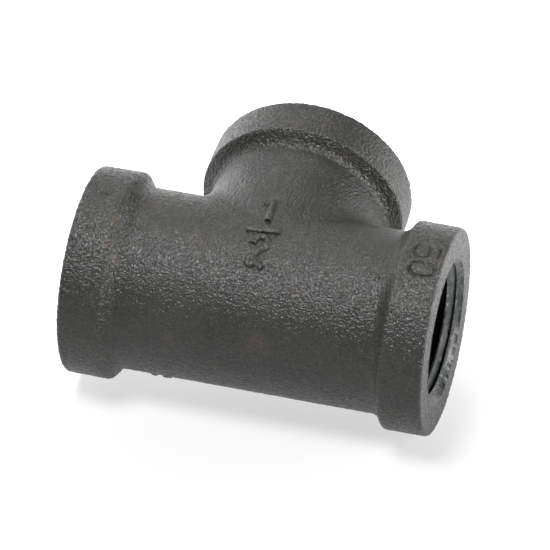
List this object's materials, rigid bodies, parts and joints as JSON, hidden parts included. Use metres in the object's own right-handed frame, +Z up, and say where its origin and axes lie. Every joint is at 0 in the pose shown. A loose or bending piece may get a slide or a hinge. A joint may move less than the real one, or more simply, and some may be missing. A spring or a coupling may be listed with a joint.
{
  "type": "threaded pipe tee",
  "caption": "Equal pipe tee in black malleable iron with a banded female taper thread in each of its three ends.",
  "frame": {"origin": "where the axis of the run and the axis of the branch cross", "axes": "+X along the run to the right port, +Y along the branch, +Z up through the size mark"},
  "size_m": [0.0568, 0.0445, 0.0322],
  "materials": {
    "cast_skin": "black oxide over a fine sand-cast grain",
    "cut_thread": "machined thread, lightly oiled",
    "raised_mark": "cast numerals, tops slightly rubbed"
  },
  "bodies": {
    "root": {"tee_body": "cast_skin", "left_end_band": "cast_skin", "right_end_band": "cast_skin", "branch_end_band": "cast_skin", "left_port_thread": "cut_thread", "right_port_thread": "cut_thread", "branch_port_thread": "cut_thread", "size_mark": "raised_mark"}
  },
  "joints": []
}
